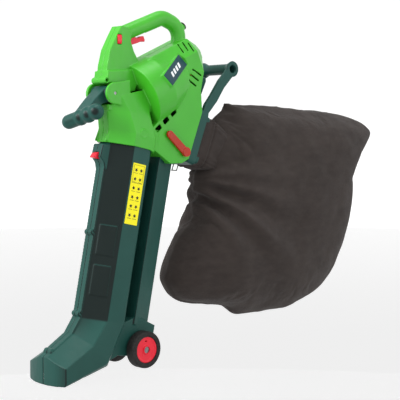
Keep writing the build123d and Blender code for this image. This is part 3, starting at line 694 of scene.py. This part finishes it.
@dataclass
class Bag:
    """The cloth bag: a lofted shell blown out a little by simulation, then creased."""

    levels: list[BagLevel]
    folds: list[Fold]
    collar_low: Vector  # where the creases start, at the underside of the collar
    around: int = 96
    up: int = 72
    frames: int = 20  # how long the cloth is simulated

    def level_at(self, share: float) -> BagLevel:
        """Reads the bag's section at a share of its height.

        Args:
            share: From 0 at the bottom to 1 at the top.

        Returns:
            The section there, on a smooth curve through the levels.
        """
        low, high = self.levels[0].height, self.levels[-1].height
        z = low + (high - low) * share
        index = 0
        while index < len(self.levels) - 2 and self.levels[index + 1].height < z:
            index += 1
        count = len(self.levels)
        four = [self.levels[min(count - 1, max(0, index + k))] for k in (-1, 0, 1, 2)]
        t = (z - four[1].height) / (four[2].height - four[1].height)

        def curve(name: str) -> float:
            """Reads one measure of the four levels round the height, on a curve through the middle two."""
            a, b, c, d = (getattr(level, name) for level in four)
            bend = (2 * a - 5 * b + 4 * c - d) * t * t + (3 * b - a - 3 * c + d) * t**3
            rounded = 0.5 * (2 * b + (c - a) * t + bend)
            straight = b + (c - b) * t
            return 0.6 * rounded + 0.4 * straight

        return BagLevel(z, curve("back"), curve("half_length"), curve("half_width"))

    def shell(self, inset: float) -> bpy.types.Mesh:
        """Lofts the bag's closed outer shell.

        Args:
            inset: How far it is drawn in, in metres.

        Returns:
            The shell's mesh.
        """
        form = bmesh.new()
        rings = []
        for row in range(self.up + 1):
            share = row / self.up
            level = self.level_at(share)
            ring = []
            for step in range(self.around):
                angle = 2 * pi * step / self.around
                x = (level.half_width - inset) * blunt(cos(angle))
                y = AXLE_Y + level.back + (level.half_length - inset) * blunt(sin(angle))
                z = level.height + inset * (1 - 2 * share)
                ring.append(form.verts.new((x, y, z)))
            rings.append(ring)
        for low, high in zip(rings, rings[1:]):
            for i in range(self.around):
                j = (i + 1) % self.around
                form.faces.new((low[i], low[j], high[j], high[i]))
        form.faces.new(rings[0][::-1])
        form.faces.new(rings[-1])
        mesh = bpy.data.meshes.new("bag_cloth")
        form.to_mesh(mesh)
        form.free()
        return mesh

    def inflate(self, piece: bpy.types.Object, limit: float) -> None:
        """Blows the shell out as cloth and keeps each point near where it was.

        Args:
            piece: The bag.
            limit: The furthest that a point may move, in metres.
        """
        group = piece.vertex_groups.new(name="held")
        start = [v.co.copy() for v in piece.data.vertices]
        for index, point in enumerate(start):
            reach = (point - self.collar_low - Vector((0, 0, 60 * MM))).length
            near = 1 - smooth_step(reach, 90 * MM, 170 * MM)
            if near > 0:
                group.add([index], near, "REPLACE")
        cloth = piece.modifiers.new("cloth", "CLOTH")
        cloth.settings.use_pressure = True  # the air from the fan; the values below are tuned
        cloth.settings.uniform_pressure_force = 4.0
        cloth.settings.mass = 0.25
        cloth.settings.tension_stiffness = 12.0
        cloth.settings.compression_stiffness = 6.0
        cloth.settings.bending_stiffness = 0.6
        cloth.settings.vertex_group_mass = "held"
        cloth.settings.effector_weights.gravity = 0.0
        cloth.collision_settings.use_collision = False
        cloth.point_cache.frame_start = 1
        cloth.point_cache.frame_end = self.frames
        scene = bpy.context.scene
        for step in range(1, self.frames + 1):
            scene.frame_set(step)
        baked(piece)
        scene.frame_set(1)
        for vertex, before in zip(piece.data.vertices, start):
            move = vertex.co - before
            if move.length > limit:
                vertex.co = before + move * (limit / move.length)

    def creased(self, point: Vector) -> float:
        """How far the cloth stands out of its smooth form at a point.

        Args:
            point: A place on the bag.

        Returns:
            The height of the creases, in metres.
        """
        away = Vector((0, point.y - self.collar_low.y, point.z - self.collar_low.z))
        reach = away.length
        side = 1.7 if point.x > 0 else 4.1  # so that the two sides differ
        wander = 7.0 * noise.noise(point * 5.0 + Vector((side, 0, 0)))
        angle = degrees(atan2(away.z, away.y)) + wander
        near = smooth_step(reach, 20 * MM, 80 * MM)
        folds = 0.0
        for fold in self.folds:
            across = (angle - fold.angle) / fold.spread
            folds += fold.height * exp(-across * across) * exp(-((reach / fold.reach) ** 2)) * near
        hang = noise.noise(Vector((point.x * 3, point.y * 6.5, point.z * 2.5)) + Vector((3.3, side, 0)))
        slack = 11.0 * MM * hang + 2.4 * MM * noise.noise(point * 24.0)
        seam = 2.2 * MM * exp(-((point.x / (4 * MM)) ** 2))
        return folds + slack + seam

    def crease(self, piece: bpy.types.Object) -> None:
        """Moves the shell's points out and in to its folds, and keeps them in the bag's own room.

        Args:
            piece: The bag.
        """
        mesh = piece.data
        for vertex, normal in [(v, v.normal.copy()) for v in mesh.vertices]:
            back = vertex.co.y - AXLE_Y
            front = 1 - smooth_step(back, 330 * MM, 374 * MM)
            low = 1 - smooth_step(vertex.co.z, 90 * MM, 180 * MM)
            vertex.co += normal * self.creased(vertex.co)
            vertex.co.z += 16 * MM * front * low

    def build(self) -> None:
        """Makes the bag and lets it stand for the plain CAD bag."""
        piece = mesh_object("bag_cloth", self.shell(6 * MM), Finish.CLOTH, "machine")
        grid = piece.modifiers.new("grid", "REMESH")
        grid.mode = "VOXEL"
        grid.voxel_size = 6 * MM
        soft = piece.modifiers.new("soft", "SMOOTH")
        soft.iterations = 6
        baked(piece)
        self.inflate(piece, 12 * MM)
        self.crease(piece)
        finer = piece.modifiers.new("finer", "SUBSURF")
        finer.levels = 1
        baked(piece)
        piece.data.materials.clear()
        piece.data.materials.append(Finish.CLOTH.material())
        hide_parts("bag")


@dataclass
class Collar:
    """The gathered cloth sleeve between the bag's frame and the bag, with its two sewn seams."""

    tilt: float = radians(21.4)  # how far the port points down
    near: float = -20 * MM  # where the sleeve starts, from the CAD collar's middle
    far: float = 78 * MM  # where it ends, inside the bag
    half_height: float = 64 * MM
    pleats: int = 23
    steps: int = 144
    rows: int = 36

    def build(self) -> None:
        """Makes the sleeve from the CAD collar, padded out to the bag and ruffled."""
        out = Vector((0, cos(self.tilt), -sin(self.tilt)))
        along = Vector((0, sin(self.tilt), cos(self.tilt)))
        low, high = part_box("bag_collar")
        middle = (Vector(low) + Vector(high)) / 2
        half_x = (high[0] - low[0]) / 2
        form = bmesh.new()
        rings = []
        for row in range(self.rows + 1):
            share = row / self.rows
            ring = []
            for step in range(self.steps):
                angle = 2 * pi * step / self.steps
                c, s = cos(angle), sin(angle)
                drift = 2 * noise.noise(Vector((c, s, share * 2)))
                ruffle = 0.010 * sin(self.pleats * angle + drift) * smooth_step(share, 0.1, 0.4)
                sag = 0.03 * noise.noise(Vector((c * 1.7, s * 1.7, share * 3)))
                hem = 0.05 * exp(-(((share - 0.30) / 0.025) ** 2))
                hem -= 0.05 * exp(-(((share - 0.38) / 0.025) ** 2))
                size = 1 + ruffle + sag + hem - 0.10 * smooth_step(share, 0.42, 1.0)
                place = middle + out * (self.near + share * (self.far - self.near))
                place += Vector((half_x * blunt(c, 0.4) * size, 0, 0))
                place += along * self.half_height * blunt(s, 0.4) * size
                ring.append(form.verts.new(place))
            rings.append(ring)
        for low_ring, high_ring in zip(rings, rings[1:]):
            for i in range(self.steps):
                j = (i + 1) % self.steps
                form.faces.new((low_ring[i], high_ring[i], high_ring[j], low_ring[j]))
        bmesh.ops.recalc_face_normals(form, faces=form.faces)
        mesh = bpy.data.meshes.new("bag_sleeve")
        form.to_mesh(mesh)
        form.free()
        piece = mesh_object("bag_sleeve", mesh, Finish.CLOTH, "machine")
        thick = piece.modifiers.new("thick", "SOLIDIFY")
        thick.thickness = 2.0 * MM
        thick.offset = -1
        baked(piece)
        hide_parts("bag_collar")


@dataclass(frozen=True)
class SoftBox:
    """One square soft light that hangs round the machine, in metres from its middle."""

    name: str
    aside: float  # to the right of the camera's view
    ahead: float  # towards the camera
    above: float
    width: float
    power: float  # watts


SOFT_BOXES = (
    SoftBox("softbox_left", -2.0, 1.4, 1.3, 1.1, 52),
    SoftBox("softbox_right", 2.2, 1.0, 0.8, 1.2, 8),
    SoftBox("softbox_top", 0.0, 0.4, 2.4, 1.4, 24),
)


@dataclass
class Studio:
    """The pale floor that rises to a backdrop all round, the soft lights and the camera."""

    target: Vector
    azimuth: float = 47.4  # degrees, from straight ahead to the machine's left
    elevation: float = 3.0  # degrees
    distance: float = 3.0
    lens: float = 103.85  # millimetres, on a sensor 36 mm wide

    def ground(self) -> None:
        """Makes one round pale sheet: floor in the middle and a curved rise to a backdrop."""
        flat, bend = 4.5, 2.5  # radius of the flat floor and of its upward curve, in metres
        curve = [radians(9 * k) for k in range(11)]
        profile = [(flat + bend * sin(a), bend - bend * cos(a)) for a in curve]
        profile.append((flat + bend, flat + bend))
        form = bmesh.new()
        steps = 96
        turns = [2 * pi * k / steps for k in range(steps)]
        rings = []
        for radius, height in profile:
            rings.append([form.verts.new((radius * cos(a), radius * sin(a), height)) for a in turns])
        form.faces.new(rings[0])
        for low, high in zip(rings, rings[1:]):
            for k in range(steps):
                j = (k + 1) % steps
                form.faces.new((low[k], low[j], high[j], high[k]))
        mesh = bpy.data.meshes.new("studio_floor")
        form.to_mesh(mesh)
        form.free()
        floor = bpy.data.objects.new("studio_floor", mesh)
        bpy.context.scene.collection.objects.link(floor)
        for face in mesh.polygons:
            face.use_smooth = True
        shader = Shader("floor_paper_matt")
        fade = shader.spread(shader.noise(0.8, 2.0), 0.0, 0.03)
        colour = shader.mixed(fade, linear("#a8a8a8"), linear("#9c9c9c"))
        height = shader.add("ShaderNodeSeparateXYZ", Vector=shader.place).outputs["Z"]
        glow = shader.add(
            "ShaderNodeMapRange",
            {"interpolation_type": "SMOOTHSTEP"},
            Value=height,
            From_Min=0.0,
            From_Max=1.2,
            To_Min=0.86,
            To_Max=0.62,
        ).outputs["Result"]
        white = linear("#ffffff")
        mesh.materials.append(
            shader.finish(Base_Color=colour, Roughness=0.9, Emission_Color=white, Emission_Strength=glow)
        )

    def light(self, box: SoftBox, place: Vector) -> None:
        """Hangs one soft light that points at the machine.

        Args:
            box: The light.
            place: Where it hangs.
        """
        lamp = bpy.data.lights.new(box.name, "AREA")
        lamp.size = box.width
        lamp.energy = box.power
        holder = bpy.data.objects.new(box.name, lamp)
        holder.location = place
        holder.rotation_euler = (self.target - place).to_track_quat("-Z", "Y").to_euler()
        bpy.context.scene.collection.objects.link(holder)

    def build(self) -> None:
        """Sets the floor, the lights and the camera."""
        self.ground()
        world = bpy.data.worlds.new("studio_air")
        world.use_nodes = True
        world.node_tree.nodes["Background"].inputs["Color"].default_value = linear("#ffffff")
        world.node_tree.nodes["Background"].inputs["Strength"].default_value = 0.7
        bpy.context.scene.world = world
        side = Vector((cos(radians(self.azimuth)), sin(radians(self.azimuth)), 0))
        front = Vector((sin(radians(self.azimuth)), -cos(radians(self.azimuth)), 0))
        top = Vector((0, 0, 1))
        for box in SOFT_BOXES:
            self.light(box, self.target + side * box.aside + front * box.ahead + top * box.above)
        camera = bpy.data.cameras.new("camera")
        camera.lens = self.lens
        camera.sensor_width = 36.0
        camera.clip_end = 100.0
        holder = bpy.data.objects.new("camera", camera)
        lift = radians(self.elevation)
        holder.location = self.target + (front * cos(lift) + top * sin(lift)) * self.distance
        holder.rotation_euler = (holder.location - self.target).to_track_quat("Z", "Y").to_euler()
        bpy.context.scene.collection.objects.link(holder)
        bpy.context.scene.camera = holder
        bpy.context.scene.view_settings.view_transform = "Standard"


def bag_levels() -> list[BagLevel]:
    """The sections of the hanging bag, the same as the CAD bag's.

    Returns:
        The levels from the bottom to the top.
    """
    rows = (
        (84, 405, 60, 24),
        (98, 452, 128, 54),
        (138, 432, 262, 84),
        (206, 438, 322, 102),
        (318, 488, 322, 106),
        (411, 524, 304, 104),
        (463, 524, 310, 100),
        (550, 566, 326, 94),
        (608, 598, 334, 80),
        (640, 588, 300, 56),
        (664, 545, 232, 34),
        (681, 400, 88, 14),
    )
    return [BagLevel(*(value * MM for value in row)) for row in rows]


def bag_folds() -> list[Fold]:
    """The ridges and valleys that the bag's weight pulls out from its collar.

    Returns:
        The folds, from the top one round to the bottom one.
    """
    rows = (
        (34, 5, 5, 190),
        (20, 5, -7, 220),
        (5, 5, 8, 260),
        (-13, 5, 11, 300),
        (-24, 6, -13, 340),
        (-41, 5, 14, 380),
        (-52, 6, -13, 330),
        (-66, 6, 10, 280),
        (-84, 7, -8, 240),
        (-102, 6, 6, 220),
    )
    return [Fold(angle, spread, height * MM, reach * MM) for angle, spread, height, reach in rows]


def main() -> None:
    """Builds the looks round the CAD frame."""
    logging.basicConfig(level=logging.INFO)
    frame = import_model()
    bodies = {
        node: body for body, nodes in frame["record"]["behaviour"]["bodies"].items() for node in nodes
    }
    slots = {part["node"]: FINISH_OF_SLOT[part["material_slot"]] for part in frame["record"]["subparts"]}
    Studio(target=Vector((0, 240.1 * MM + AXLE_Y, 413.8 * MM))).build()
    mouldings = Mouldings(frame, bodies, slots)
    mouldings.dress()
    mouldings.build()
    LOG.info("mouldings built")
    label_low, label_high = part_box("label_plate")
    prints = Prints(Vector(label_low), Vector(label_high))
    prints.label()
    prints.plate(frame["nodes"]["name_plate"])
    Collar().build()
    Bag(bag_levels(), bag_folds(), Vector((0, AXLE_Y + 185 * MM, 474 * MM))).build()
    LOG.info("bag built")


if __name__ == "__main__":
    main()
